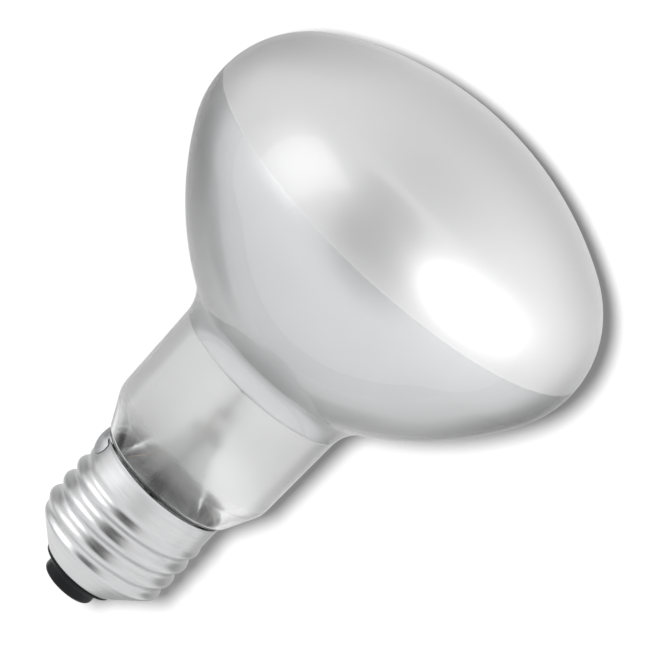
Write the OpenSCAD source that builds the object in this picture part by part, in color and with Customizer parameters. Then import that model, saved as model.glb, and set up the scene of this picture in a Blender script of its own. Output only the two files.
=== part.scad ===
// Mirrored reflector bulb with a screw cap, standing upright on its foot contact.
// Lengths are in millimetres. The origin is the middle of the foot contact, and Z is the bulb's axis.

/* [Bulb glass] */
// Widest diameter of the bulb
bulb_d = 80; // [76:0.5:90]
// Height of the widest ring above the foot contact
widest_z = 86.3; // [84:0.5:100]
// Radius of the rounded brow between front and bowl
brow_r = 17.5; // [14:0.5:20]
// Radius of the front face
face_r = 59.3; // [50:0.5:80]
// Radius of the mirrored bowl
bowl_r = 57.3; // [50:0.5:65]
// Angle below the widest ring at which the brow turns into the bowl
bowl_turn = 27; // [24:0.5:32]
// Radius of the hollow throat between bowl and neck
throat_r = 8.9; // [6:0.1:12]
// Diameter of the neck under the throat
neck_d = 33.4; // [31:0.1:35]
// Diameter of the neck just above its shoulder
neck_foot_d = 32.6; // [30:0.1:34]
// Radius of the neck's shoulder
shoulder_r = 5; // [2:0.5:6]
// Angle at which the shoulder closes in
shoulder_turn = 26; // [22:1:32]
// Radius of the heel where the glass dips into the cap
heel_r = 2.5; // [1.5:0.1:3]
// Angle at which the heel dips into the cap
heel_turn = 62; // [50:1:70]
// Height of the heel's end above the rim of the cap
heel_rise = 0.14; // [0.1:0.02:0.4]
// Length of the straight sealed end inside the cap
seal_len = 4.3; // [3.8:0.1:5]
// Wall of the bulb
glass_t = 0.7; // [0.5:0.1:1]

/* [Mirror film] */
// Height of the film's upper edge above the widest ring
film_rise = 1.3; // [0:0.1:5]
// Height of the film's lower edge above the foot of the throat
film_foot_rise = 1.4; // [0.5:0.1:4]
// Thickness of the film, drawn thicker than the real one
film_t = 0.08; // [0.05:0.01:0.2]

/* [Screw shell] */
// Height of the shell's rim above the foot contact
rim_z = 26.4; // [25.5:0.1:28]
// Diameter over the thread crests
crest_d = 26.1; // [25.9:0.05:26.6]
// Diameter at the thread roots
root_d = 24.2; // [24:0.05:24.6]
// Pitch of the rolled thread
pitch = 3.629; // [3.4:0.001:3.8]
// Diameter of the plain skirt above the thread
skirt_d = 25.1; // [25:0.05:25.5]
// Height of the plain skirt
skirt_h = 4.3; // [4.1:0.1:4.6]
// Height over which the thread fades into the skirt
fade_h = 2.5; // [1.5:0.1:3.5]
// Drop of the first full crest below the rim, on the solder side
crest_drop = 7.8; // [6.5:0.1:9]
// Diameter of the flared rim
lip_d = 25.5; // [25.4:0.05:26]
// Height of the flared rim
lip_h = 0.6; // [0.4:0.1:1]
// Thickness of the sheet
sheet_t = 0.28; // [0.2:0.01:0.3]
// Height of the shell's lower edge above the foot contact
shell_foot_z = 3.3; // [2.8:0.1:3.6]
// Outer diameter of the shell's lower edge
shell_foot_d = 12.9; // [12.5:0.1:14]
// Lean of the shell's lower cone from the axis
cone_turn = 46; // [42:1:50]
// Rounding between the cone and the thread
cone_blend = 0.7; // [0.4:0.1:0.7]

/* [Foot] */
// Height of the insulator's bottom above the foot contact
foot_z = 0.35; // [0.25:0.05:0.5]
// Diameter of the insulator near its bottom
foot_d = 10.06; // [9.5:0.05:11]
// Diameter of the insulator under the shell
foot_top_d = 12.7; // [12.4:0.1:12.8]
// Rounding of the insulator's bottom edge
foot_edge_r = 0.7; // [0.4:0.1:0.9]
// Height of the straight band above that edge
foot_band_h = 0.35; // [0.2:0.05:0.6]
// Depth of the insulator inside the shell
insulator_h = 4.7; // [4:0.1:4.8]
// Diameter of the contact plate
plate_d = 7.8; // [7:0.1:8]
// Thickness of the contact plate
plate_t = 0.35; // [0.2:0.05:0.5]
// Outer diameter of the plate's eyelet
eyelet_d = 2.6; // [2.2:0.1:3]
// Wall of the eyelet
eyelet_t = 0.4; // [0.3:0.05:0.5]
// Length of the eyelet above the plate
eyelet_h = 3.8; // [3:0.1:5]
// Diameter of the flat under the foot solder
solder_flat_d = 3.6; // [3:0.1:4]
// Diameter of the foot solder at the plate
solder_d = 5.2; // [4.8:0.1:6]
// Height of the solder plug inside the eyelet
plug_h = 1.2; // [0.8:0.1:2]
// Radius of the solder drop on the rim
drop_r = 6; // [5:0.1:6.6]
// Reach of that drop beyond the skirt
drop_reach = 0.75; // [0.6:0.05:0.9]
// Drop of the solder's middle below the rim
drop_fall = 1.4; // [1.2:0.1:1.6]
// Compass angle of the drop about the axis
drop_turn = 193; // [180:1:210]
// Thickness of the cement between neck and shell
cement_t = 0.82; // [0.78:0.02:0.9]
// Height of the cement ring
cement_h = 2.5; // [2:0.1:2.8]

/* [Stem] */
// Compass angle of the stem's leads about the axis
mount_turn = -15; // [-40:1:40]
// Diameter of the flare's tube
stem_d = 6.6; // [6.4:0.1:7]
// Wall of the flare
stem_t = 0.6; // [0.5:0.05:0.7]
// Height of the flare's rim inside the neck seal
flare_rim_h = 0.8; // [0.5:0.1:1.5]
// Radius between that rim and the flare
flare_rim_r = 2; // [1:0.1:3]
// Lean of the flare from the axis
flare_turn = 30; // [28:1:34]
// Hollow radius between flare and tube
flare_r = 6; // [4:0.5:8]
// Length of the straight tube under the press
stem_tube_h = 0.4; // [0.2:0.1:1]
// Width of the press
press_w = 8; // [7:0.1:9]
// Thickness of the press
press_t = 2.6; // [2.4:0.1:3]
// Height of the press
press_h = 5.2; // [4.8:0.1:6]
// Spacing of the two leads in the press
lead_gap = 4.2; // [4:0.1:4.4]
// Diameter of the inner leads
lead_d = 0.6; // [0.5:0.05:0.7]
// Diameter of the wires sealed in the press
seal_wire_d = 0.5; // [0.4:0.05:0.6]
// Diameter of the exhaust tube
exhaust_d = 3; // [2.6:0.1:3.2]
// Wall of the exhaust tube
exhaust_t = 0.6; // [0.5:0.05:0.7]
// Length of the exhaust tube
exhaust_len = 25; // [24:0.5:26]
// Length of its melted tip
exhaust_tip_h = 2.5; // [2:0.1:4]
// Diameter of the glass rod above the press
rod_d = 1.8; // [1.6:0.1:2.2]
// Diameter of the rod's button
button_d = 4.4; // [4:0.1:5]
// Thickness of the button
button_h = 2.4; // [2:0.1:3]

/* [Wires] */
// Height of the filament above the foot contact
filament_z = 66; // [64:0.5:70]
// Radius of the ring that the filament follows
filament_ring_r = 9; // [8:0.5:11]
// Half of the filament's sweep about the axis
filament_half_turn = 130; // [110:5:140]
// Diameter of the filament's coil
coil_d = 1; // [0.8:0.1:1.2]
// Diameter of the filament's wire
filament_d = 0.16; // [0.12:0.02:0.2]
// Number of turns in the coil
coil_turns = 34; // [20:1:36]
// Number of support wires
supports = 3; // [2:1:3]
// Diameter of the support wires
support_d = 0.3; // [0.25:0.05:0.4]
// Depth of the support wires in the button
support_seat = 1.2; // [0.8:0.1:1.4]
// Diameter of the outer leads
outer_lead_d = 0.4; // [0.3:0.05:0.5]
// Diameter of the flattened lead between neck and shell
shell_lead_d = 0.24; // [0.2:0.02:0.26]
// Diameter of the fuse's glass sleeve
sleeve_d = 2; // [1.8:0.1:2.2]
// Wall of the sleeve
sleeve_t = 0.4; // [0.3:0.05:0.5]
// Length of the sleeve
sleeve_len = 12; // [10:0.5:13]
// Height of the sleeve's foot above the foot contact
sleeve_z = 16.5; // [15:0.5:17]
// Distance of the sleeve from the axis
sleeve_off = 3.2; // [3:0.1:3.6]
// Diameter of the fuse wire
fuse_d = 0.2; // [0.15:0.05:0.3]

/* [Hidden] */
// Clearance of a piece in its seat
fit_gap = 0.05;
// Clearance against the rolled sheet
sheet_gap = 0.1;
// Gap between glass and film
film_gap = 0.02;
// Gap between the filament and what holds it
wire_gap = 0.12;
// Overrun of every cut
over = 1;
// Largest turn of one chord in an outline
arc_step = 3.6;
// Sides of a round surface, of the shell, and of a thin wire
round_sides = 96;
shell_sides = 40;
wire_sides = 8;
thin_sides = 6;
filament_sides = 5;
// Rows of the shell on its cone, on one pitch of thread, on its skirt and on its lip
cone_rows = 4;
pitch_rows = 8;
skirt_rows = 2;
lip_rows = 3;
// Rings of wire in one turn of the coil
coil_rings = 8;
// Chords in a support's loop
loop_rings = 8;

bulb_r = bulb_d / 2;
neck_r = neck_d / 2;
neck_foot_r = neck_foot_d / 2;
skirt_r = skirt_d / 2;
lip_r = lip_d / 2;
crest_r = crest_d / 2;
root_r = root_d / 2;
shell_foot_r = shell_foot_d / 2;
skirt_in_r = skirt_r - sheet_t;

// Centres of the glass arcs, each tangent to the next
brow_c = [bulb_r - brow_r, widest_z];
face_c = [0, widest_z - sqrt(pow(face_r - brow_r, 2) - pow(brow_c[0], 2))];
face_turn = acos(brow_c[0] / (face_r - brow_r));
bowl_c = brow_c - (bowl_r - brow_r) * [cos(bowl_turn), -sin(bowl_turn)];
throat_x = neck_r + throat_r;
throat_end_turn = acos((throat_x - bowl_c[0]) / (bowl_r + throat_r));
throat_c = [throat_x, bowl_c[1] - (bowl_r + throat_r) * sin(throat_end_turn)];

// The glass dips into the mouth of the cap
heel_end = [skirt_in_r, rim_z + heel_rise];
heel_c = heel_end - heel_r * [cos(heel_turn), -sin(heel_turn)];
heel_start = heel_c + heel_r * [cos(shoulder_turn), -sin(shoulder_turn)];
shoulder_end_r = neck_foot_r - shoulder_r * (1 - cos(shoulder_turn));
shoulder_end_z = heel_start[1] + (shoulder_end_r - heel_start[0]) / tan(shoulder_turn);
shoulder_c = [neck_foot_r - shoulder_r, shoulder_end_z + shoulder_r * sin(shoulder_turn)];
seal_r = skirt_in_r - cement_t;
fillet_r = (heel_end[0] - seal_r) / (1 - cos(heel_turn));
fillet_c = [seal_r + fillet_r, heel_end[1] - fillet_r * sin(heel_turn)];
seal_end_z = fillet_c[1] - seal_len;
seal_in_r = seal_r - glass_t;

// Thread of the shell
fade_top_z = rim_z - skirt_h;
crest_z = rim_z - crest_drop;
knuckle_r = (pow(crest_r - root_r, 2) + pow(pitch / 2, 2)) / (4 * (crest_r - root_r));
cone_top_z = shell_foot_z + (root_r - shell_foot_r) / tan(cone_turn);
slant = 1 / cos(cone_turn);
shell_foot_in_r = shell_foot_r - sheet_t * slant;

// Stem heights, from the neck's sealed end up
flare_rim_out_r = seal_in_r - fit_gap;
stem_r = stem_d / 2;
flare_rim_c = [flare_rim_out_r - flare_rim_r, seal_end_z + flare_rim_h];
flare_low = flare_rim_c + flare_rim_r * [cos(flare_turn), sin(flare_turn)];
flare_high_r = stem_r + flare_r * (1 - cos(flare_turn));
flare_high_z = flare_low[1] + (flare_low[0] - flare_high_r) / tan(flare_turn);
flare_c = [stem_r + flare_r, flare_high_z + flare_r * sin(flare_turn)];
press_foot_z = flare_c[1] + stem_tube_h;
press_top_z = press_foot_z + press_h;
lead_off = lead_gap / 2;
seal_wire_over = seal_wire_d;
exhaust_end_z = press_foot_z - exhaust_len;
exhaust_in_r = exhaust_d / 2 - exhaust_t;
exhaust_hole_z = press_foot_z + exhaust_d / 2;
button_z = filament_z - 3 * button_h;
sleeve_top_z = sleeve_z + sleeve_len;
sleeve_bite = sleeve_d / 2;
insulator_top_z = shell_foot_z + insulator_h;
plate_top_z = foot_z + plate_t;
eyelet_in_r = eyelet_d / 2 - eyelet_t;
filament_end_turn = filament_half_turn + (lead_d / 2 + wire_gap) / filament_ring_r * 180 / PI;

// Points on an arc in the r-z plane
function arc_points(c, r, from, to) =
    let (n = max(1, ceil(abs(to - from) / arc_step)))
    [for (i = [0:n]) let (a = from + (to - from) * i / n) c + r * [cos(a), sin(a)]];

// The bulb's outline from the sealed end to the crown, moved inwards by an inset
function glass_line(inset) = concat(
    [[seal_r - inset, seal_end_z]],
    arc_points(fillet_c, fillet_r + inset, 180, 180 - heel_turn),
    arc_points(heel_c, heel_r - inset, -heel_turn, -shoulder_turn),
    arc_points(shoulder_c, shoulder_r - inset, -shoulder_turn, 0),
    arc_points(throat_c, throat_r + inset, 180, 180 - throat_end_turn),
    arc_points(bowl_c, bowl_r - inset, -throat_end_turn, -bowl_turn),
    arc_points(brow_c, brow_r - inset, -bowl_turn, face_turn),
    arc_points(face_c, face_r - inset, face_turn, 90));

// That outline closed along the axis
module glass_core(inset, drop) {
    polygon(concat(
        [[0, seal_end_z - drop]],
        [[seal_r - inset, seal_end_z - drop]],
        glass_line(inset)));
}

// The glass radius in the mouth of the cap
function mouth_glass_r(z) =
    z <= fillet_c[1] ? seal_r : fillet_c[0] - sqrt(pow(fillet_r, 2) - pow(z - fillet_c[1], 2));

module envelope() {
    color("whitesmoke")
        rotate_extrude($fn = round_sides)
            difference() {
                glass_core(0, 0);
                glass_core(glass_t, over);
            }
}

module reflector_film() {
    film_foot_z = throat_c[1] + film_foot_rise;
    film_h = widest_z + film_rise - film_foot_z;
    color("silver")
        rotate_extrude($fn = round_sides)
            intersection() {
                difference() {
                    glass_core(glass_t + film_gap, 0);
                    glass_core(glass_t + film_gap + film_t, over);
                }
                translate([0, film_foot_z])
                    square([bulb_d, film_h]);
            }
}

// The flare's outline from its rim up to the press, moved inwards by an inset
function flare_line(inset) = concat(
    arc_points(flare_rim_c, flare_rim_r - inset, 0, flare_turn),
    arc_points(flare_c, flare_r + inset, 180 + flare_turn, 180));

module flare_shell() {
    press_seat_r = press_t / 2;
    rotate_extrude($fn = round_sides)
        difference() {
            polygon(concat(
                [[0, seal_end_z], [flare_rim_out_r, seal_end_z]],
                flare_line(0),
                [[stem_r, press_foot_z], [press_seat_r, press_foot_z + press_t],
                    [0, press_foot_z + press_t]]));
            polygon(concat(
                [[0, seal_end_z - over], [flare_rim_out_r - stem_t, seal_end_z - over]],
                flare_line(stem_t),
                [[stem_r - stem_t, press_foot_z], [0, press_foot_z]]));
        }
}

module stem_flare() {
    color("lightblue")
        rotate([0, 0, mount_turn])
            difference() {
                union() {
                    flare_shell();
                    intersection() {
                        translate([0, 0, press_foot_z])
                            cylinder(h = press_h, d = press_w, $fn = round_sides);
                        translate([-press_t / 2, -press_w, press_foot_z])
                            cube([press_t, 2 * press_w, press_h]);
                    }
                }
                for (side = [-1, 1])
                    translate([0, side * lead_off, press_foot_z - over])
                        cylinder(h = press_h + 2 * over, d = seal_wire_d + 2 * fit_gap, $fn = round_sides);
                translate([0, 0, press_foot_z - over])
                    cylinder(h = over + exhaust_d / 2, r = exhaust_in_r, $fn = round_sides);
                translate([0, 0, exhaust_hole_z])
                    rotate([0, 90, 0])
                        cylinder(h = stem_d, r = exhaust_in_r, $fn = round_sides);
            }
}

module exhaust_tube() {
    r = exhaust_d / 2;
    tip_z = exhaust_end_z + exhaust_tip_h;
    color("lightblue")
        rotate_extrude($fn = round_sides)
            difference() {
                polygon([[0, exhaust_end_z], [exhaust_t, exhaust_end_z], [r, tip_z], [r, press_foot_z],
                    [0, press_foot_z]]);
                polygon([[0, tip_z - exhaust_t], [exhaust_in_r, tip_z], [exhaust_in_r, press_foot_z + over],
                    [0, press_foot_z + over]]);
            }
}

module glass_rod() {
    edge_r = button_h / 2;
    color("lightblue")
        rotate([0, 0, mount_turn])
            difference() {
                rotate_extrude($fn = round_sides)
                    polygon(concat(
                        [[0, press_top_z], [rod_d / 2, press_top_z], [rod_d / 2, button_z - edge_r]],
                        arc_points([button_d / 2 - edge_r, button_z], edge_r, -90, 90),
                        [[0, button_z + edge_r]]));
                for (i = [0:supports - 1])
                    rotate([0, 0, support_angle(i)])
                        translate([button_d / 2 - support_seat, 0, button_z])
                            rotate([0, 90, 0])
                                cylinder(h = button_d, d = support_d + 2 * fit_gap, $fn = round_sides);
            }
}

// Direction of one step along a path
function unit(v) = v / norm(v);
function path_tangent(path, i) = unit(path[min(i + 1, len(path) - 1)] - path[max(i - 1, 0)]);

// One ring of points about a path's point
function wire_ring(p, t, up, r, sides) =
    let (b = unit(cross(t, up)), n = cross(b, t))
    [for (k = [0:sides - 1]) p + r * (cos(360 * k / sides) * b + sin(360 * k / sides) * n)];

// A round wire of one radius along a path, where ups holds a direction across each point
module wire(path, ups, r, sides) {
    last = len(path) - 1;
    points = [for (i = [0:last]) each wire_ring(path[i], path_tangent(path, i), ups[i], r, sides)];
    walls = [for (i = [0:last - 1], k = [0:sides - 1])
        let (a = i * sides + k, b = i * sides + (k + 1) % sides)
        each [[a, b + sides, a + sides], [a, b, b + sides]]];
    caps = [[for (k = [sides - 1:-1:0]) k], [for (k = [0:sides - 1]) last * sides + k]];
    polyhedron(points = points, faces = concat(walls, caps));
}

// A wire whose path never runs along one direction
module plain_wire(path, up, r, sides) {
    wire(path, [for (p = path) up], r, sides);
}

function on_ring(a, r, z) = [r * cos(a), r * sin(a), z];

module lead_wire(side) {
    start_z = press_top_z + seal_wire_over;
    top = on_ring(side * filament_end_turn, filament_ring_r, filament_z);
    foot = [0, side * lead_off, start_z];
    bend_z = start_z + (filament_z - start_z) / 3;
    bend = [0, side * lead_off, bend_z];
    rise = unit(top - bend);
    color("darkgray")
        rotate([0, 0, mount_turn])
            plain_wire([foot, bend - [0, 0, lead_d], bend + lead_d * rise, top - lead_d * rise, top],
                [1, 0, 0], lead_d / 2, wire_sides);
}

module lead_wire_left() {
    lead_wire(-1);
}

module lead_wire_right() {
    lead_wire(1);
}

module seal_wire(side) {
    color("peru")
        rotate([0, 0, mount_turn])
            translate([0, side * lead_off, press_foot_z - seal_wire_over])
                cylinder(h = press_h + 2 * seal_wire_over, d = seal_wire_d, $fn = round_sides);
}

module seal_wire_left() {
    seal_wire(-1);
}

module seal_wire_right() {
    seal_wire(1);
}

// The coil's points wind about the ring, and the ring's own direction lies across each
module filament() {
    steps = coil_turns * coil_rings;
    wind_r = (coil_d - filament_d) / 2;
    angles = [for (i = [0:steps]) -filament_half_turn + 2 * filament_half_turn * i / steps];
    path = [for (i = [0:steps])
        let (turn = 360 * i / coil_rings)
        on_ring(angles[i], filament_ring_r + wind_r * cos(turn), filament_z + wind_r * sin(turn))];
    ups = [for (a = angles) [-sin(a), cos(a), 0]];
    color("dimgray")
        rotate([0, 0, mount_turn])
            wire(path, ups, filament_d / 2, filament_sides);
}

function support_angle(i) = filament_half_turn * (2 * (i + 0.5) / supports - 1);

// A support leaves the button, rises to the ring and curls round the coil
module support_wire() {
    loop_r = (coil_d + support_d) / 2 + wire_gap;
    seat_r = button_d / 2 - support_seat + fit_gap;
    loop = [for (i = [0:loop_rings])
        let (a = 180 + 300 * i / loop_rings)
        [filament_ring_r + loop_r * cos(a), 0, filament_z + loop_r * sin(a)]];
    path = concat([[seat_r, 0, button_z], [button_d, 0, button_z],
        [filament_ring_r - loop_r, 0, filament_z - 2 * loop_r]], loop);
    plain_wire(path, [0, 1, 0], support_d / 2, thin_sides);
}

module support_wires() {
    color("gray")
        rotate([0, 0, mount_turn])
            for (i = [0:supports - 1])
                rotate([0, 0, support_angle(i)])
                    support_wire();
}

module fuse_lead() {
    start_z = press_foot_z - seal_wire_over;
    step = sleeve_off - lead_off;
    color("darkgoldenrod")
        rotate([0, 0, mount_turn])
            plain_wire([[0, lead_off, start_z], [0, lead_off, start_z - step],
                [0, sleeve_off, start_z - 4 * step], [0, sleeve_off, sleeve_top_z - sleeve_bite]],
                [1, 0, 0], outer_lead_d / 2, wire_sides);
}

module fuse_wire() {
    color("silver")
        rotate([0, 0, mount_turn])
            translate([0, sleeve_off, sleeve_z + sleeve_bite])
                cylinder(h = sleeve_len - 2 * sleeve_bite, d = fuse_d, $fn = round_sides);
}

module fuse_sleeve() {
    color("lightblue")
        rotate([0, 0, mount_turn])
            translate([0, sleeve_off, sleeve_z])
                difference() {
                    cylinder(h = sleeve_len, d = sleeve_d, $fn = round_sides);
                    translate([0, 0, -over])
                        cylinder(h = sleeve_len + 2 * over, d = sleeve_d - 2 * sleeve_t, $fn = round_sides);
                }
}

// The lead from the fuse passes under the exhaust tip and down the eyelet
module contact_lead() {
    low_z = (exhaust_end_z + insulator_top_z) / 2;
    color("darkgoldenrod")
        rotate([0, 0, mount_turn])
            plain_wire([[0, sleeve_off, sleeve_z + sleeve_bite], [0, sleeve_off, exhaust_end_z],
                [0, outer_lead_d, low_z], [0, 0, insulator_top_z], [0, 0, plate_top_z + plug_h / 2]],
                [1, 0, 0], outer_lead_d / 2, wire_sides);
}

// Middle of the narrow way between the glass and the shell, for the lead to the rim
function mouth_mid(z) =
    let (in_r = z >= fade_top_z ? skirt_in_r + lip_flare(z) : root_r - sheet_t)
    [(mouth_glass_r(z) + in_r) / 2, z];

// The lead leaves the press, follows the flare, turns out under the neck's end and climbs to the rim
module shell_lead() {
    start_z = press_foot_z - seal_wire_over;
    start_turn = 270 + mount_turn;
    inset = 2 * stem_t;
    under_z = seal_end_z - 2 * shell_lead_d;
    mouth_r = mouth_mid(seal_end_z)[0];
    stem_way = [[lead_off, start_z], [lead_off, start_z - seal_wire_d], [flare_high_r - inset, flare_high_z]];
    rim_way = concat(
        [[flare_low[0] - inset, flare_low[1]], [seal_in_r - inset, under_z],
            [mouth_r - shell_lead_d, under_z], [mouth_r, under_z + shell_lead_d]],
        [for (z = [fade_top_z, fillet_c[1], (fillet_c[1] + rim_z) / 2, rim_z]) mouth_mid(z)]);
    path = concat(
        [for (p = stem_way) on_ring(start_turn, p[0], p[1])],
        [for (p = rim_way) on_ring(drop_turn, p[0], p[1])]);
    color("darkgoldenrod")
        plain_wire(path, [-sin(drop_turn), cos(drop_turn), 0], shell_lead_d / 2, thin_sides);
}

module base_cement() {
    top_z = fillet_c[1];
    color("beige")
        difference() {
            translate([0, 0, top_z - cement_h])
                cylinder(h = cement_h, r = skirt_in_r - sheet_gap, $fn = round_sides);
            translate([0, 0, top_z - cement_h - over])
                cylinder(h = cement_h + 2 * over, r = seal_r + fit_gap, $fn = round_sides);
            rotate([0, 0, drop_turn])
                translate([0, -shell_lead_d, top_z - cement_h - over])
                    cube([skirt_d, 2 * shell_lead_d, cement_h + 2 * over]);
        }
}

function clamp01(x) = max(0, min(1, x));
function smooth(x) = let (s = clamp01(x)) s * s * (3 - 2 * s);
function wrap(x, period) = x - period * floor(x / period);
function lip_flare(z) = (lip_r - skirt_r) * smooth((z - rim_z + lip_h) / lip_h);

// Knuckle thread: a crest arc and a root arc of one radius meet at a quarter of the pitch
function knuckle(x) = x <= pitch / 4
    ? crest_r - knuckle_r + sqrt(pow(knuckle_r, 2) - x * x)
    : root_r + knuckle_r - sqrt(pow(knuckle_r, 2) - pow(pitch / 2 - x, 2));

function thread_r(a, z) =
    knuckle(abs(wrap(z - crest_z - pitch * (a - 180) / 360 + pitch / 2, pitch) - pitch / 2));

function cone_r(z) = shell_foot_r + (z - shell_foot_z) * tan(cone_turn);

// The lower of two radii, rounded where they cross
function blend_min(a, b) =
    let (h = max(cone_blend - abs(a - b), 0) / cone_blend)
    min(a, b) - h * h * cone_blend / 4;

// Outer radius of the shell at a compass angle and height
function shell_out(a, z) =
    let (fade = smooth((fade_top_z - z) / fade_h))
    blend_min(skirt_r + fade * (thread_r(a, z) - skirt_r) + lip_flare(z), cone_r(z));

// Inner radius, set back so that the sheet is equally thick on every slope
function shell_in(a, z) =
    let (e = sheet_t / 4, s = (shell_out(a, z + e) - shell_out(a, z - e)) / (2 * e))
    shell_out(a, z) - sheet_t * (z > shell_foot_z ? sqrt(1 + s * s) : slant);

function row_steps(from, to, n) = [for (i = [0:n - 1]) from + (to - from) * i / n];

module base_shell() {
    lip_foot_z = rim_z - lip_h;
    thread_rows = ceil((fade_top_z - cone_top_z) / pitch * pitch_rows);
    heights = concat(
        row_steps(shell_foot_z, cone_top_z, cone_rows),
        row_steps(cone_top_z, fade_top_z, thread_rows),
        row_steps(fade_top_z, lip_foot_z, skirt_rows),
        row_steps(lip_foot_z, rim_z, lip_rows),
        [rim_z]);
    n = shell_sides;
    last = len(heights) - 1;
    rows = 2 * (last + 1);
    points = concat(
        [for (z = heights, k = [0:n - 1]) let (a = 360 * k / n) on_ring(a, shell_out(a, z), z)],
        [for (i = [last:-1:0], k = [0:n - 1])
            let (a = 360 * k / n, z = heights[i])
            on_ring(a, shell_in(a, z), z)]);
    faces = [for (i = [0:rows - 1], k = [0:n - 1])
        let (low = i * n, high = ((i + 1) % rows) * n, next = (k + 1) % n)
        each [[low + k, high + k, high + next], [low + k, high + next, low + next]]];
    color("gainsboro")
        polyhedron(points = points, faces = faces);
}

module insulator() {
    foot_r = foot_d / 2;
    foot_top_r = foot_top_d / 2;
    collar_z = shell_foot_z - fit_gap;
    band_top_z = foot_z + foot_edge_r + foot_band_h;
    waist_h = collar_z - band_top_z;
    waist_r = (pow(foot_top_r - foot_r, 2) + pow(waist_h, 2)) / (2 * (foot_top_r - foot_r));
    waist_turn = asin(waist_h / waist_r);
    neck_hole_r = shell_foot_in_r - sheet_gap;
    inside_top_r = cone_r(insulator_top_z) - (sheet_t + sheet_gap) * slant;
    color("#1c1d1e")
        difference() {
            rotate_extrude($fn = round_sides)
                polygon(concat(
                    [[0, foot_z]],
                    arc_points([foot_r - foot_edge_r, foot_z + foot_edge_r], foot_edge_r, -90, 0),
                    arc_points([foot_r + waist_r, band_top_z], waist_r, 180, 180 - waist_turn),
                    [[neck_hole_r, collar_z], [neck_hole_r, shell_foot_z],
                        [inside_top_r, insulator_top_z], [0, insulator_top_z]]));
            translate([0, 0, foot_z - over])
                cylinder(h = over + plate_t, d = plate_d + 2 * fit_gap, $fn = round_sides);
            translate([0, 0, foot_z])
                cylinder(h = insulator_top_z - foot_z + over, d = eyelet_d + 2 * fit_gap, $fn = round_sides);
        }
}

module contact_plate() {
    color("goldenrod")
        difference() {
            union() {
                translate([0, 0, foot_z])
                    cylinder(h = plate_t, d = plate_d, $fn = round_sides);
                translate([0, 0, foot_z])
                    cylinder(h = plate_t + eyelet_h, d = eyelet_d, $fn = round_sides);
            }
            translate([0, 0, foot_z - over])
                cylinder(h = plate_t + eyelet_h + 2 * over, r = eyelet_in_r, $fn = round_sides);
        }
}

module contact_solder() {
    side_r = (solder_d - solder_flat_d) / 2;
    plug_r = eyelet_in_r - fit_gap;
    plug_top_z = plate_top_z + plug_h;
    color("lightgray")
        difference() {
            union() {
                cylinder(h = foot_z, d1 = solder_flat_d, d2 = solder_flat_d + 2 * side_r, $fn = round_sides);
                cylinder(h = plug_top_z, r = plug_r, $fn = round_sides);
            }
            translate([0, 0, plate_top_z + plug_h / 2])
                cylinder(h = plug_h, d = outer_lead_d + 2 * fit_gap, $fn = round_sides);
        }
}

// A drop that hooks over the rim where the lead comes out
module side_solder() {
    middle = [skirt_r + drop_reach - drop_r, 0, rim_z - drop_fall];
    low_z = rim_z - 2 * drop_r - drop_fall;
    color("lightgray")
        difference() {
            rotate([0, 0, drop_turn])
                translate(middle)
                    sphere(r = drop_r, $fn = round_sides);
            rotate_extrude($fn = round_sides)
                polygon([[0, low_z], [skirt_r + fit_gap, low_z], [skirt_r + fit_gap, rim_z - lip_h],
                    [lip_r + fit_gap, rim_z - lip_h / 2], [lip_r + fit_gap, rim_z + fit_gap],
                    [0, rim_z + fit_gap]]);
            rotate_extrude($fn = round_sides)
                glass_core(-fit_gap, 0);
        }
}

envelope();
reflector_film();
stem_flare();
exhaust_tube();
glass_rod();
lead_wire_left();
lead_wire_right();
seal_wire_left();
seal_wire_right();
filament();
support_wires();
fuse_lead();
fuse_wire();
fuse_sleeve();
contact_lead();
shell_lead();
base_cement();
base_shell();
insulator();
contact_plate();
contact_solder();
side_solder();
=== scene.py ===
import math

import bpy
from mathutils import Matrix, Vector


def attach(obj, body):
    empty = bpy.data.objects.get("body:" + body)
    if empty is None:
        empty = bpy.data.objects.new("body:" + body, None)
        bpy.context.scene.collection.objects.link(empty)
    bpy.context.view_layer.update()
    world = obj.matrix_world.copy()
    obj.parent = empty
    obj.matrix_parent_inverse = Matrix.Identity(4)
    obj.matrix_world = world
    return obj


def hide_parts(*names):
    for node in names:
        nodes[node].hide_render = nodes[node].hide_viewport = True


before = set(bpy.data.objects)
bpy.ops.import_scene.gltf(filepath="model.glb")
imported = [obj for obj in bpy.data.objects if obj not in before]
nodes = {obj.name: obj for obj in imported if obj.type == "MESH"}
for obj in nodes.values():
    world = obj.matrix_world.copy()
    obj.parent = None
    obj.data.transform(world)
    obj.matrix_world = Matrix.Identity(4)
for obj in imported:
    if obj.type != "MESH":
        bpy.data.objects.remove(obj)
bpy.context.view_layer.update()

bpy.ops.object.select_all(action="DESELECT")
mm = 0.001
mergeGap = 0.002 * mm
noiseLow, noiseHigh = 0.3, 0.7  # most of a noise lies between these
print("frame loaded:", len(nodes), "nodes")


def pick(piece):
    bpy.ops.object.select_all(action="DESELECT")
    piece.select_set(True)
    bpy.context.view_layer.objects.active = piece


def applyModifier(piece, kind, **settings):
    pick(piece)
    modifier = piece.modifiers.new(kind.lower(), kind)
    for name, value in settings.items():
        setattr(modifier, name, value)
    bpy.ops.object.modifier_apply(modifier=modifier.name)


def finishPiece(piece, nodeNames, smoothTurn):
    pick(piece)
    bpy.ops.object.shade_smooth_by_angle(angle=math.radians(smoothTurn))
    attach(piece, "root")
    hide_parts(*nodeNames)


def arcRow(centre, radius, start, end, step):
    count = max(1, math.ceil(abs(end - start) / step))
    turns = [math.radians(start + (end - start) * i / count) for i in range(count + 1)]
    return [(centre[0] + radius * math.cos(t), centre[1] + radius * math.sin(t)) for t in turns]


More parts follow.
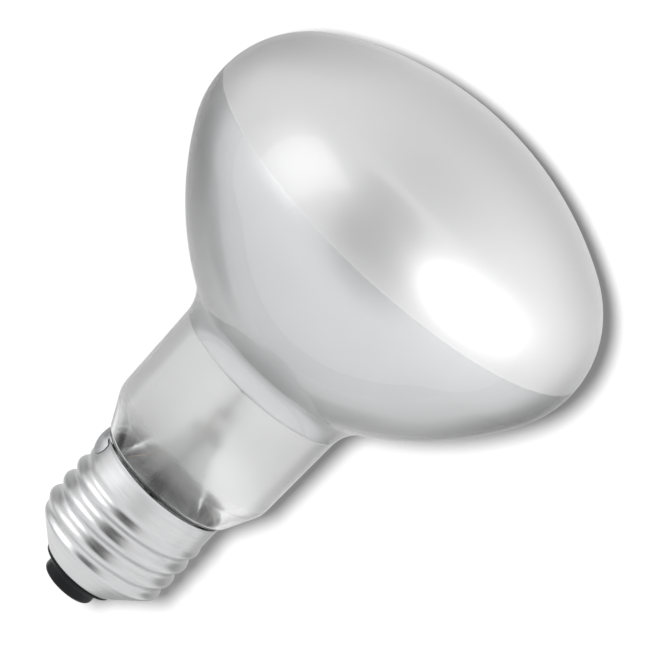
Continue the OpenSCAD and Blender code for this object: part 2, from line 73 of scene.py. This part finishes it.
def spinOutline(name, outline, sides):
    # one point is extruded along the outline, then the outline is spun about the axis
    bpy.ops.object.select_all(action="DESELECT")
    start = (outline[0][0] * mm, 0, outline[0][1] * mm)
    bpy.ops.mesh.primitive_plane_add(size=mm, location=start)
    piece = bpy.context.object
    piece.name = name
    bpy.ops.object.transform_apply(location=True)
    bpy.ops.object.mode_set(mode="EDIT")
    bpy.ops.mesh.select_all(action="SELECT")
    bpy.ops.mesh.merge(type="CENTER")
    for before, after in zip(outline, outline[1:]):
        step = ((after[0] - before[0]) * mm, 0, (after[1] - before[1]) * mm)
        bpy.ops.mesh.extrude_region_move(TRANSFORM_OT_translate={"value": step})
    bpy.ops.mesh.select_all(action="SELECT")
    bpy.ops.mesh.spin(steps=sides, angle=2 * math.pi, center=(0, 0, 0), axis=(0, 0, 1))
    bpy.ops.mesh.select_all(action="SELECT")
    bpy.ops.mesh.remove_doubles(threshold=mergeGap)
    bpy.ops.mesh.normals_make_consistent(inside=False)
    bpy.ops.object.mode_set(mode="OBJECT")
    return piece


def newMaterial(name, **values):
    material = bpy.data.materials.new(name)
    material.use_nodes = True
    tree = material.node_tree
    shader = tree.nodes["Principled BSDF"]
    for socket, value in values.items():
        shader.inputs[socket.replace("_", " ")].default_value = value
    return material, tree, shader


def emptyMaterial(name):
    material = bpy.data.materials.new(name)
    material.use_nodes = True
    material.node_tree.nodes.clear()
    return material, material.node_tree


def place(tree, stretch=(1, 1, 1)):
    coords = tree.nodes.new("ShaderNodeTexCoord")
    mapping = tree.nodes.new("ShaderNodeMapping")
    mapping.inputs["Scale"].default_value = stretch
    tree.links.new(coords.outputs["Object"], mapping.inputs["Vector"])
    return mapping.outputs["Vector"]


def noise(tree, vector, scale, detail=3, harshness=0.5):
    grain = tree.nodes.new("ShaderNodeTexNoise")
    grain.inputs["Scale"].default_value = scale
    grain.inputs["Detail"].default_value = detail
    grain.inputs["Roughness"].default_value = harshness
    tree.links.new(vector, grain.inputs["Vector"])
    return grain.outputs["Fac"]


def spread(tree, value, low, high, fromLow=noiseLow, fromHigh=noiseHigh):
    ramp = tree.nodes.new("ShaderNodeMapRange")
    ramp.inputs["From Min"].default_value = fromLow
    ramp.inputs["From Max"].default_value = fromHigh
    ramp.inputs["To Min"].default_value = low
    ramp.inputs["To Max"].default_value = high
    tree.links.new(value, ramp.inputs["Value"])
    return ramp.outputs["Result"]


def shade(tree, value, low, high):
    ramp = tree.nodes.new("ShaderNodeValToRGB")
    first, last = ramp.color_ramp.elements
    first.position, first.color = noiseLow, (*low, 1)
    last.position, last.color = noiseHigh, (*high, 1)
    tree.links.new(value, ramp.inputs["Fac"])
    return ramp.outputs["Color"]


def roughen(tree, shader, value, strength, depth):
    bump = tree.nodes.new("ShaderNodeBump")
    bump.inputs["Strength"].default_value = strength
    bump.inputs["Distance"].default_value = depth * mm
    tree.links.new(value, bump.inputs["Height"])
    tree.links.new(bump.outputs["Normal"], shader.inputs["Normal"])


def objectCoords(tree):
    coords = tree.nodes.new("ShaderNodeTexCoord")
    split = tree.nodes.new("ShaderNodeSeparateXYZ")
    tree.links.new(coords.outputs["Object"], split.inputs["Vector"])
    return split.outputs


def calc(tree, operation, a, b=None):
    node = tree.nodes.new("ShaderNodeMath")
    node.operation = operation
    for socket, value in zip(node.inputs, (a, b)):
        if value is None:
            continue
        if isinstance(value, (int, float)):
            socket.default_value = value
        else:
            tree.links.new(value, socket)
    return node.outputs["Value"]


def bandOf(tree, low, high):
    height = objectCoords(tree)["Z"]
    above = calc(tree, "GREATER_THAN", height, low * mm)
    below = calc(tree, "LESS_THAN", height, high * mm)
    return calc(tree, "MULTIPLY", above, below)


def grained(name, finish, **values):
    # one noise varies the colour and the roughness, and presses into the surface
    material, tree, shader = newMaterial(name, **values)
    stretch = finish.get("stretch", (1, 1, 1))
    detail, harshness = finish.get("detail", 3), finish.get("harshness", 0.5)
    grain = noise(tree, place(tree, stretch), finish["scale"], detail, harshness)
    if "colour" in finish:
        tree.links.new(shade(tree, grain, *finish["colour"]), shader.inputs["Base Color"])
    tree.links.new(spread(tree, grain, *finish["roughness"]), shader.inputs["Roughness"])
    if "bumpGrain" in finish:
        grain = noise(tree, place(tree), *finish["bumpGrain"])
    if "bump" in finish:
        roughen(tree, shader, grain, *finish["bump"])
    return material


# the bulb lies across the picture, so the camera is rolled
cameraView = {
    "target": (0, 0, 63.06 * mm), "distance": 1.101, "elevation": 16.38, "roll": 43.17,
    "lens": 362.0, "sensor": 36, "shift": (0.0272, 0.0035), "clip": (0.05, 20),
}

elevation = math.radians(cameraView["elevation"])
roll = math.radians(cameraView["roll"])
toCamera = Vector((0, -math.cos(elevation), math.sin(elevation)))
levelUp = Vector((0, math.sin(elevation), math.cos(elevation)))
imageRight = math.cos(roll) * Vector((1, 0, 0)) + math.sin(roll) * levelUp
imageUp = math.cos(roll) * levelUp - math.sin(roll) * Vector((1, 0, 0))
target = Vector(cameraView["target"])
cameraPlace = target + cameraView["distance"] * toCamera


def imageTurn(right, up, back):
    return Matrix((right, up, back)).transposed().to_4x4()


camera = bpy.data.objects.new("camera", bpy.data.cameras.new("camera"))
bpy.context.scene.collection.objects.link(camera)
camera.data.lens = cameraView["lens"]
camera.data.sensor_width = cameraView["sensor"]
camera.data.shift_x, camera.data.shift_y = cameraView["shift"]
camera.data.clip_start, camera.data.clip_end = cameraView["clip"]
camera.matrix_world = Matrix.Translation(cameraPlace) @ imageTurn(imageRight, imageUp, toCamera)
bpy.context.scene.camera = camera
print("camera placed")


# the bulb's outline runs in arcs; radii and heights in mm, turns and steps in degrees
glass = {
    "bulbR": 40, "widestZ": 86.3, "browR": 17.5, "faceR": 59.3, "bowlR": 57.3, "bowlTurn": 27,
    "throatR": 8.9, "neckR": 16.7, "neckFootR": 16.3, "shoulderR": 5, "shoulderTurn": 26,
    "heelR": 2.5, "heelTurn": 62, "heelEndR": 12.27, "heelEndZ": 26.54, "sealR": 11.45,
    "sealLen": 4.3, "wall": 0.7, "sides": 160, "step": 1.6, "throatStep": 2.5,
    "shoulderStep": 3, "heelStep": 4, "filletStep": 5, "smoothTurn": 60,
}


def glassOutline(inset):
    g = glass
    bowlTurn, heelTurn = math.radians(g["bowlTurn"]), math.radians(g["heelTurn"])
    shoulderTurn = math.radians(g["shoulderTurn"])
    # centres of brow, front and bowl, and the turns at which the arcs meet
    brow = (g["bulbR"] - g["browR"], g["widestZ"])
    faceReach = g["faceR"] - g["browR"]
    face = (0, brow[1] - math.sqrt(faceReach ** 2 - brow[0] ** 2))
    faceTurn = math.degrees(math.acos(brow[0] / faceReach))
    bowlReach = g["bowlR"] - g["browR"]
    bowl = (brow[0] - bowlReach * math.cos(bowlTurn), brow[1] + bowlReach * math.sin(bowlTurn))
    throatX = g["neckR"] + g["throatR"]
    throatReach = g["bowlR"] + g["throatR"]
    throatTurn = math.degrees(math.acos((throatX - bowl[0]) / throatReach))
    throat = (throatX, bowl[1] - throatReach * math.sin(math.radians(throatTurn)))
    # heel and shoulder, joined by a straight slope, and the fillet down to the sealed end
    heel = (g["heelEndR"] - g["heelR"] * math.cos(heelTurn),
            g["heelEndZ"] + g["heelR"] * math.sin(heelTurn))
    slopeStart = (heel[0] + g["heelR"] * math.cos(shoulderTurn),
                  heel[1] - g["heelR"] * math.sin(shoulderTurn))
    slopeEndR = g["neckFootR"] - g["shoulderR"] * (1 - math.cos(shoulderTurn))
    slopeEndZ = slopeStart[1] + (slopeEndR - slopeStart[0]) / math.tan(shoulderTurn)
    shoulder = (g["neckFootR"] - g["shoulderR"],
                slopeEndZ + g["shoulderR"] * math.sin(shoulderTurn))
    filletR = (g["heelEndR"] - g["sealR"]) / (1 - math.cos(heelTurn))
    fillet = (g["sealR"] + filletR, g["heelEndZ"] - filletR * math.sin(heelTurn))
    rows = [(g["sealR"] - inset, fillet[1] - g["sealLen"])]
    rows += arcRow(fillet, filletR + inset, 180, 180 - g["heelTurn"], g["filletStep"])
    rows += arcRow(heel, g["heelR"] - inset, -g["heelTurn"], -g["shoulderTurn"], g["heelStep"])
    rows += arcRow(shoulder, g["shoulderR"] - inset, -g["shoulderTurn"], 0, g["shoulderStep"])
    rows += arcRow(throat, g["throatR"] + inset, 180, 180 - throatTurn, g["throatStep"])
    rows += arcRow(bowl, g["bowlR"] - inset, -throatTurn, -g["bowlTurn"], g["step"])[1:]
    rows += arcRow(brow, g["browR"] - inset, -g["bowlTurn"], faceTurn, g["step"])[1:]
    rows += arcRow(face, g["faceR"] - inset, faceTurn, 90, g["step"])[1:]
    return rows


# the mirror film lines the bowl between two sharp edges, and the glass is clear over it
film = {
    "inset": 0.72, "thickness": 0.08, "lowEdge": 52.0, "highEdge": 87.6, "topTuck": 0.01,
    "colour": ((0.88, 0.885, 0.89), (0.92, 0.925, 0.93)), "roughness": (0.34, 0.38),
    "scale": 60, "detail": 2, "smoothTurn": 60,
}

# the inner face is rough under the film and nearly clear elsewhere
clear = {
    "tint": (0.97, 0.975, 0.98, 1), "ior": 1.5, "underFilm": 0.3, "grain": 90,
    "roughness": (0.0, 0.03),
}

clearGlass, tree, shader = newMaterial(
    "clearGlass", Base_Color=clear["tint"], Transmission_Weight=1.0, IOR=clear["ior"])
filmZone = bandOf(tree, film["lowEdge"], film["highEdge"])
underFilm = calc(tree, "MULTIPLY", filmZone, clear["underFilm"])
blown = spread(tree, noise(tree, place(tree), clear["grain"]), *clear["roughness"])
tree.links.new(calc(tree, "ADD", underFilm, blown), shader.inputs["Roughness"])

# the outer face is etched at the front and on the neck, and the etching fades at the neck's foot
satin = {
    "ior": 1.5, "coatRoughness": 0.02, "fadeLow": 30.0, "fadeHigh": 36.0,
    "neckRoughness": 0.32, "neckClarity": 0.72, "neckTint": 0.79,
    "frontRoughness": 0.4, "frontClarity": 0.6, "frontTint": 0.785, "frontLustre": 0.45,
    "clearTint": 0.97, "grain": 120, "grainDetail": 2, "cloud": (0.97, 1.03),
}

satinGlass, tree, shader = newMaterial(
    "satinGlass", IOR=satin["ior"], Coat_Roughness=satin["coatRoughness"])
height = objectCoords(tree)["Z"]
etchFade = spread(tree, height, 0.0, 1.0, satin["fadeLow"] * mm, satin["fadeHigh"] * mm)
overFilm = bandOf(tree, film["lowEdge"], film["highEdge"])
etched = calc(tree, "MULTIPLY", etchFade, calc(tree, "SUBTRACT", 1.0, overFilm))
front = calc(tree, "GREATER_THAN", height, film["highEdge"] * mm)
grain = noise(tree, place(tree), satin["grain"], satin["grainDetail"])
cloud = spread(tree, grain, *satin["cloud"])


def neckToFront(neckValue, frontValue):
    return spread(tree, front, neckValue, frontValue, 0.0, 1.0)


etchRoughness = neckToFront(satin["neckRoughness"], satin["frontRoughness"])
etchHaze = neckToFront(1 - satin["neckClarity"], 1 - satin["frontClarity"])
clearTint = satin["clearTint"]
etchTint = neckToFront(clearTint - satin["neckTint"], clearTint - satin["frontTint"])
tint = calc(tree, "SUBTRACT", clearTint, calc(tree, "MULTIPLY", etched, etchTint))
roughness = calc(tree, "MULTIPLY", calc(tree, "MULTIPLY", etched, etchRoughness), cloud)
seeThrough = calc(tree, "SUBTRACT", 1.0, calc(tree, "MULTIPLY", etched, etchHaze))
lustre = calc(tree, "MULTIPLY", front, satin["frontLustre"])
tree.links.new(tint, shader.inputs["Base Color"])
tree.links.new(roughness, shader.inputs["Roughness"])
tree.links.new(seeThrough, shader.inputs["Transmission Weight"])
tree.links.new(lustre, shader.inputs["Metallic"])
tree.links.new(etched, shader.inputs["Coat Weight"])

bulbGlass = spinOutline("bulbGlass", glassOutline(0), glass["sides"])
bulbGlass.data.materials.append(satinGlass)
bulbGlass.data.materials.append(clearGlass)
applyModifier(bulbGlass, "SOLIDIFY", thickness=glass["wall"] * mm, offset=-1,
              use_even_offset=True, use_quality_normals=True, material_offset=1)
finishPiece(bulbGlass, ["envelope"], glass["smoothTurn"])
print("bulb glass:", len(bulbGlass.data.polygons), "faces")

mirrorFilm = grained("mirrorFilm", film, Metallic=1.0)
filmRows = [p for p in glassOutline(film["inset"]) if film["lowEdge"] < p[1] < film["highEdge"]]
filmRows.insert(0, (filmRows[0][0], film["lowEdge"]))
filmRows.append((filmRows[-1][0] - film["topTuck"], film["highEdge"]))
filmBand = spinOutline("filmBand", filmRows, glass["sides"])
filmBand.data.materials.append(mirrorFilm)
applyModifier(filmBand, "SOLIDIFY", thickness=film["thickness"] * mm, offset=-1,
              use_even_offset=True)
finishPiece(filmBand, ["reflector_film"], film["smoothTurn"])
print("mirror film:", len(filmBand.data.polygons), "faces")


# the screw shell is rounded from the built one, and its lower edge lies higher on the cone
shell = {
    "levels": 2, "quadTurn": 60, "footBelow": 3.4, "footRise": 0.65, "footSpread": 1.106,
    "colour": ((0.61, 0.613, 0.62), (0.71, 0.712, 0.718)), "roughness": (0.27, 0.37),
    "stretch": (1, 1, 9), "scale": 160, "detail": 4, "harshness": 0.6,
    "bumpGrain": (900, 2), "bump": (0.06, 0.05), "smoothTurn": 60,
}

capAluminium = grained("capAluminium", shell, Metallic=1.0)
screwShell = bpy.data.objects.new("screwShell", nodes["base_shell"].data.copy())
bpy.context.scene.collection.objects.link(screwShell)
pick(screwShell)
bpy.ops.object.mode_set(mode="EDIT")
bpy.ops.mesh.select_all(action="SELECT")
bpy.ops.mesh.remove_doubles(threshold=mergeGap)
quadTurn = math.radians(shell["quadTurn"])
bpy.ops.mesh.tris_convert_to_quads(face_threshold=quadTurn, shape_threshold=quadTurn)
bpy.ops.mesh.select_all(action="DESELECT")
bpy.ops.object.mode_set(mode="OBJECT")
for vertex in screwShell.data.vertices:  # the cone's lowest ring goes up its slope
    vertex.select = vertex.co.z < shell["footBelow"] * mm
bpy.ops.object.mode_set(mode="EDIT")
wider = (shell["footSpread"], shell["footSpread"], 1)
bpy.ops.transform.resize(value=wider, center_override=(0, 0, 0))
bpy.ops.transform.translate(value=(0, 0, shell["footRise"] * mm))
bpy.ops.object.mode_set(mode="OBJECT")
screwShell.data.materials.clear()
screwShell.data.materials.append(capAluminium)
applyModifier(screwShell, "SUBSURF", levels=shell["levels"], render_levels=shell["levels"])
finishPiece(screwShell, ["base_shell"], shell["smoothTurn"])
print("screw shell:", len(screwShell.data.polygons), "faces")


# the black glass foot in mm: band, hollow waist and a collar under the shell's edge
foot = {
    "holeR": 1.35, "plateR": 3.95, "plateTop": 0.7, "bottom": 0.35, "footR": 5.03,
    "edgeR": 0.7, "edgeStep": 10, "bandTop": 1.9, "waistR": 1.283, "waistTurn": 77,
    "waistStep": 8, "collar": (6.95, 3.5), "collarTop": (6.98, 3.87), "throat": (6.62, 3.87),
    "inside": (6.62, 3.95), "insideTop": (10.77, 8.0), "sides": 96, "smoothTurn": 35,
    "colour": ((0.008, 0.0085, 0.009), (0.014, 0.015, 0.016)), "roughness": (0.26, 0.4),
    "scale": 220, "gloss": 0.12,
}


def footOutline():
    f = foot
    edge = (f["footR"] - f["edgeR"], f["bottom"] + f["edgeR"])
    waist = (f["footR"] + f["waistR"], f["bandTop"])
    rows = [(f["holeR"], f["plateTop"]), (f["plateR"], f["plateTop"]), (f["plateR"], f["bottom"])]
    rows += arcRow(edge, f["edgeR"], -90, 0, f["edgeStep"])
    rows += arcRow(waist, f["waistR"], 180, 180 - f["waistTurn"], f["waistStep"])
    rows += [f["collar"], f["collarTop"], f["throat"], f["inside"], f["insideTop"]]
    return rows + [(f["holeR"], f["insideTop"][1]), rows[0]]


blackGlass = grained("blackGlass", foot, Specular_IOR_Level=foot["gloss"])
footGlass = spinOutline("footGlass", footOutline(), foot["sides"])
footGlass.data.materials.append(blackGlass)
finishPiece(footGlass, ["insulator"], foot["smoothTurn"])
print("foot glass:", len(footGlass.data.polygons), "faces")


# finishes of the built pieces
# the stem glass keeps a grey tint, darker than real glass, so that it shows as a dark streak
# through the satin neck: painted shade
stemFinish = {"scale": 140, "roughness": (0.01, 0.06), "tint": (0.78, 0.795, 0.795, 1), "ior": 1.52}
cementFinish = {
    "colour": ((0.16, 0.152, 0.135), (0.28, 0.266, 0.235)), "roughness": (0.75, 0.95),
    "scale": 900, "detail": 4, "harshness": 0.7, "bump": (0.4, 0.1),
}
metalFinishes = {
    "nickelWire": {"colour": ((0.24, 0.235, 0.225), (0.34, 0.335, 0.32)),
                   "roughness": (0.2, 0.35), "scale": 700},
    "copperWire": {"colour": ((0.5, 0.3, 0.18), (0.66, 0.41, 0.26)),
                   "roughness": (0.25, 0.4), "scale": 700},
    "tungstenWire": {"colour": ((0.2, 0.2, 0.21), (0.3, 0.3, 0.31)),
                     "roughness": (0.3, 0.45), "scale": 900},
    "contactBrass": {"colour": ((0.6, 0.45, 0.22), (0.75, 0.58, 0.31)),
                     "roughness": (0.22, 0.4), "scale": 300},
    "solderTin": {"colour": ((0.42, 0.43, 0.44), (0.6, 0.61, 0.62)),
                  "roughness": (0.3, 0.5), "scale": 500},
}
metalBump = (0.1, 0.05)

finishes = {}
for name, finish in metalFinishes.items():
    finishes[name] = grained(name, {**finish, "bump": metalBump}, Metallic=1.0)
finishes["stemGlass"] = grained("stemGlass", stemFinish, Base_Color=stemFinish["tint"],
                                Transmission_Weight=1.0, IOR=stemFinish["ior"])
finishes["bakedCement"] = grained("bakedCement", cementFinish)

builtPieces = {
    "stemGlass": ["stem_flare", "exhaust_tube", "glass_rod", "fuse_sleeve"],
    "nickelWire": ["lead_wire_left", "lead_wire_right", "fuse_wire"],
    "copperWire": ["seal_wire_left", "seal_wire_right", "fuse_lead", "contact_lead", "shell_lead"],
    "tungstenWire": ["filament", "support_wires"],
    "bakedCement": ["base_cement"],
    "contactBrass": ["contact_plate"],
    "solderTin": ["contact_solder", "side_solder"],
}
for finishName, nodeNames in builtPieces.items():
    for nodeName in nodeNames:
        nodes[nodeName].data.materials.clear()
        nodes[nodeName].data.materials.append(finishes[finishName])
print("materials set on the built pieces")


# the sheet lies behind the bulb, along its axis, and its back is clear
sheet = {"size": 2.4, "behind": 41.5, "grey": 0.3}

bpy.ops.mesh.primitive_plane_add(size=sheet["size"])
floorSheet = bpy.context.object
floorSheet.name = "floorSheet"
standing = Matrix.Rotation(math.pi / 2, 4, "X")
floorSheet.matrix_world = Matrix.Translation((0, sheet["behind"] * mm, 0)) @ standing
floorSheet.visible_diffuse = floorSheet.visible_transmission = False

whiteSheet, tree = emptyMaterial("whiteSheet")
output = tree.nodes.new("ShaderNodeOutputMaterial")
paper = tree.nodes.new("ShaderNodeBsdfDiffuse")
paper.inputs["Color"].default_value = (sheet["grey"], sheet["grey"], sheet["grey"], 1)
clearBack = tree.nodes.new("ShaderNodeBsdfTransparent")
mixer = tree.nodes.new("ShaderNodeMixShader")
facing = tree.nodes.new("ShaderNodeNewGeometry")
tree.links.new(facing.outputs["Backfacing"], mixer.inputs["Fac"])
tree.links.new(paper.outputs["BSDF"], mixer.inputs[1])
tree.links.new(clearBack.outputs["BSDF"], mixer.inputs[2])
tree.links.new(mixer.outputs["Shader"], output.inputs["Surface"])
floorSheet.data.materials.append(whiteSheet)


def fromImage(direction):
    right, up, back = direction
    return (right * imageRight + up * imageUp + back * toCamera).normalized()


# a lamp lights only the pieces of its own collection
def onlyOn(name, pieces):
    lit = bpy.data.collections.new(name)
    for piece in pieces:
        lit.objects.link(piece)
    return lit


def newLamp(name, kind, energy, lit):
    lamp = bpy.data.objects.new(name, bpy.data.lights.new(name, kind))
    bpy.context.scene.collection.objects.link(lamp)
    lamp.data.energy = energy
    lamp.light_linking.receiver_collection = lit
    return lamp


def aimLamp(lamp, spot, distance, back):
    side = Vector((0, 0, 1)).cross(back).normalized()
    turn = imageTurn(side, back.cross(side), back)
    lamp.matrix_world = Matrix.Translation(spot + distance * back) @ turn


onlyFloor = onlyOn("onlyFloor", [floorSheet])
onlyCap = onlyOn("onlyCap", [screwShell, nodes["side_solder"], footGlass,
                             nodes["contact_plate"], nodes["contact_solder"]])
onlyBulb = onlyOn("onlyBulb", [bulbGlass, filmBand])
bulbMiddle = Vector((0, 0, 60 * mm))

# one soft box for the glass and one for the cap; directions are right, up and back in the image
softboxes = {
    "boxBulb": {"direction": (-0.43, 0.69, 0.585), "distance": 0.55, "size": (0.32, 0.6),
                "radiance": 1.0, "lit": onlyBulb},
    "boxCap": {"direction": (-0.63, 0.61, 0.48), "distance": 0.55, "size": (0.42, 0.52),
               "radiance": 1.35, "lit": onlyCap},
}

for name, box in softboxes.items():
    energy = box["radiance"] * math.pi * box["size"][0] * box["size"][1]
    lamp = newLamp(name, "AREA", energy, box["lit"])
    lamp.data.shape = "RECTANGLE"
    lamp.data.size, lamp.data.size_y = box["size"]
    aimLamp(lamp, bulbMiddle, box["distance"], fromImage(box["direction"]))

# the lamp beside the camera throws the shadow on the sheet and lights nothing else
shadow = {"energy": 141, "softness": 0.045, "right": -0.072, "up": 0.012}

shadowLamp = newLamp("shadowLamp", "POINT", shadow["energy"], onlyFloor)
shadowLamp.data.shadow_soft_size = shadow["softness"]
shadowLamp.location = cameraPlace + shadow["right"] * imageRight + shadow["up"] * imageUp

# a narrow lamp lights the satin beside the middle of the front
glow = {
    "energy": 12, "spread": 8, "blend": 1.0, "spot": (14, -33, 95.5), "distance": 0.5,
    "direction": (0.785, -0.22, 0.58),
}

glowLamp = newLamp("glowLamp", "SPOT", glow["energy"], onlyBulb)
glowLamp.data.spot_size = math.radians(glow["spread"])
glowLamp.data.spot_blend = glow["blend"]
glowLamp.data.shadow_soft_size = 0
aimLamp(glowLamp, Vector(glow["spot"]) * mm, glow["distance"], fromImage(glow["direction"]))


def newCard(name, size):
    # the camera doesn't see a card, only reflections and refractions do
    bpy.ops.mesh.primitive_plane_add(size=1)
    card = bpy.context.object
    card.name = name
    card.scale = (*size, 1)
    bpy.ops.object.transform_apply(scale=True)
    material, tree = emptyMaterial(name)
    light = tree.nodes.new("ShaderNodeEmission")
    output = tree.nodes.new("ShaderNodeOutputMaterial")
    tree.links.new(light.outputs["Emission"], output.inputs["Surface"])
    card.data.materials.append(material)
    card.visible_camera = card.visible_diffuse = card.visible_shadow = False
    return card, tree, light.inputs["Strength"]


# the dark strip in front of the bulb, lighter at its foot; sizes in metres
strip = {
    "size": (0.8, 2.4), "core": 0.17, "edge": 0.31, "grey": 0.06, "footGrey": 0.74,
    "footLow": -0.8, "footHigh": -0.5, "endFade": 0.15,
    "distance": 0.62, "aside": 0.1, "ahead": 0.5, "lean": 8,
}

cardStrip, tree, strength = newCard("cardStrip", strip["size"])
coords = objectCoords(tree)
sideways = spread(tree, calc(tree, "ABSOLUTE", coords["X"]), 1.0, 0.0, strip["core"], strip["edge"])
dark = spread(tree, coords["Y"], 1 - strip["footGrey"], 1 - strip["grey"],
              strip["footLow"], strip["footHigh"])
lowEnd = -strip["size"][1] / 2
ending = spread(tree, coords["Y"], 0.0, 1.0, lowEnd, lowEnd + strip["endFade"])
dark = calc(tree, "MULTIPLY", calc(tree, "MULTIPLY", sideways, dark), ending)
tree.links.new(calc(tree, "SUBTRACT", 1.0, dark), strength)

axis = target.normalized()
alongImage = (axis - toCamera * axis.dot(toCamera)).normalized()
acrossImage = toCamera.cross(alongImage).normalized()
stripPlace = bulbMiddle + strip["distance"] * toCamera
stripPlace += strip["aside"] * acrossImage + strip["ahead"] * alongImage
leaning = Matrix.Rotation(math.radians(strip["lean"]), 4, "Z")
stripTurn = imageTurn(-acrossImage, alongImage, toCamera) @ leaning
cardStrip.matrix_world = Matrix.Translation(stripPlace) @ stripTurn

# two cards close before the sheet, with soft grey discs of painted shade, seen only in reflections
# and through the glass: x, z, core, edge, grey, squash
sheetCards = {
    "cardBack": {
        "size": (0.5, 1.0), "middle": (0, 300), "before": 1, "inReflections": True,
        "shadeDiscs": [
            (0, 82, 50, 105, 0.7, 1.0), (0, 400, 40, 100, 0.35, 0.35),
            (-105, 22, 26, 92, 0.3, 1.0), (-70, 108, 16, 50, 0.5, 1.0),
            (82, 44, 18, 62, 0.34, 1.0), (30, -32, 25, 55, 0.4, 1.0),
            (-95, -75, 25, 60, 0.3, 1.0),
        ],
        # a white window behind the neck
        "window": {"halfWidth": 22, "z": 26, "halfHeight": 20, "softX": 4, "softZ": 5},
    },
    # the neck card paints shadow behind the neck's clear foot, seen only through the glass
    "cardNeck": {
        "size": (0.1, 0.1), "middle": (-12, 8), "before": 2, "inReflections": False,
        "shadeDiscs": [(-12, 10, 8, 20, 0.25, 1.0)],
    },
}


# a disc darkens the card towards its grey in the core: painted shade
def shadeDiscLevel(tree, besideX, besideZ, core, edge, grey, squash):
    besideZ = calc(tree, "MULTIPLY", besideZ, squash)
    squares = calc(tree, "ADD", calc(tree, "POWER", besideX, 2), calc(tree, "POWER", besideZ, 2))
    return spread(tree, calc(tree, "SQRT", squares), grey, 1.0, core * mm, edge * mm)


def openLevel(tree, beside, half, soft):
    beside = calc(tree, "ABSOLUTE", beside)
    return spread(tree, beside, 1.0, 0.0, (half - soft) * mm, (half + soft) * mm)


for name, card in sheetCards.items():
    plane, tree, strength = newCard(name, card["size"])
    coords = objectCoords(tree)
    middleX, middleZ = card["middle"]
    level = 1.0
    for x, z, core, edge, grey, squash in card["shadeDiscs"]:
        besideX = calc(tree, "ADD", coords["X"], (middleX - x) * mm)
        besideZ = calc(tree, "ADD", coords["Y"], (middleZ - z) * mm)
        shadeDisc = shadeDiscLevel(tree, besideX, besideZ, core, edge, grey, squash)
        level = calc(tree, "MULTIPLY", shadeDisc, level)
    if "window" in card:
        window = card["window"]
        besideX = calc(tree, "ADD", coords["X"], middleX * mm)
        besideZ = calc(tree, "ADD", coords["Y"], (middleZ - window["z"]) * mm)
        openX = openLevel(tree, besideX, window["halfWidth"], window["softX"])
        openZ = openLevel(tree, besideZ, window["halfHeight"], window["softZ"])
        level = calc(tree, "MAXIMUM", level, calc(tree, "MULTIPLY", openX, openZ))
    tree.links.new(level, strength)
    planePlace = Vector((middleX, sheet["behind"] - card["before"], middleZ)) * mm
    plane.matrix_world = Matrix.Translation(planePlace) @ standing
    plane.visible_glossy = card["inReflections"]

world = bpy.data.worlds.new("studio")
bpy.context.scene.world = world
world.use_nodes = True
tree = world.node_tree
tree.nodes.clear()
output = tree.nodes.new("ShaderNodeOutputWorld")
white = tree.nodes.new("ShaderNodeBackground")
white.inputs["Color"].default_value = (1, 1, 1, 1)
white.inputs["Strength"].default_value = 1.0
tree.links.new(white.outputs["Background"], output.inputs["Surface"])

bpy.context.scene.view_settings.view_transform = "Standard"
print("stage and lights set")
